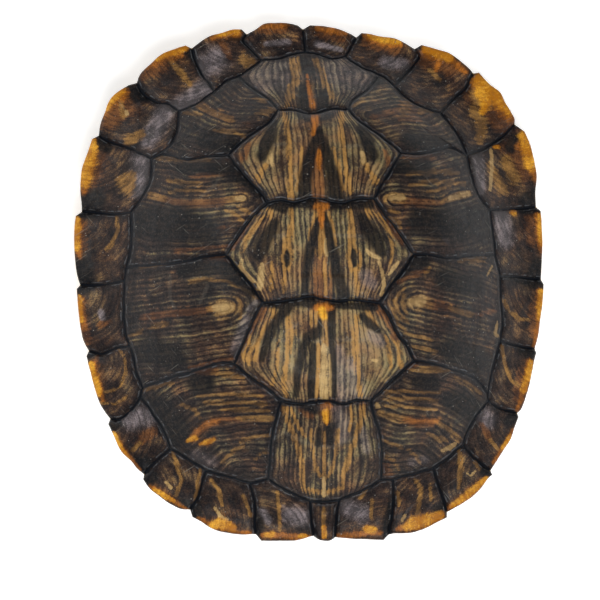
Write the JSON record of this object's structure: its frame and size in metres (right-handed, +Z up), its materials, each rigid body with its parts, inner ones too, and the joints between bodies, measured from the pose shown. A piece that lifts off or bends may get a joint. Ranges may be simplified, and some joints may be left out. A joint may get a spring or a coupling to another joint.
{
  "type": "turtle shell",
  "caption": "Empty shell of a young pond turtle: dark striped domed upper shell with a notched orange rim, joined by side bridges to a flat lower shell, open at both ends.",
  "frame": {"origin": "on the ground, under the middle of the shell's outline", "axes": "+Y towards the tail end, -Y towards the head end, +X towards the animal's left side when seen from above with the head end nearest, +Z up through the crown"},
  "size_m": [0.091, 0.1012, 0.0398],
  "materials": {
    "dark_horn": "satin",
    "yellow_horn": "satin",
    "bone": "matte"
  },
  "bodies": {
    "root": {"turtle_shell": "dark_horn"}
  },
  "joints": []
}
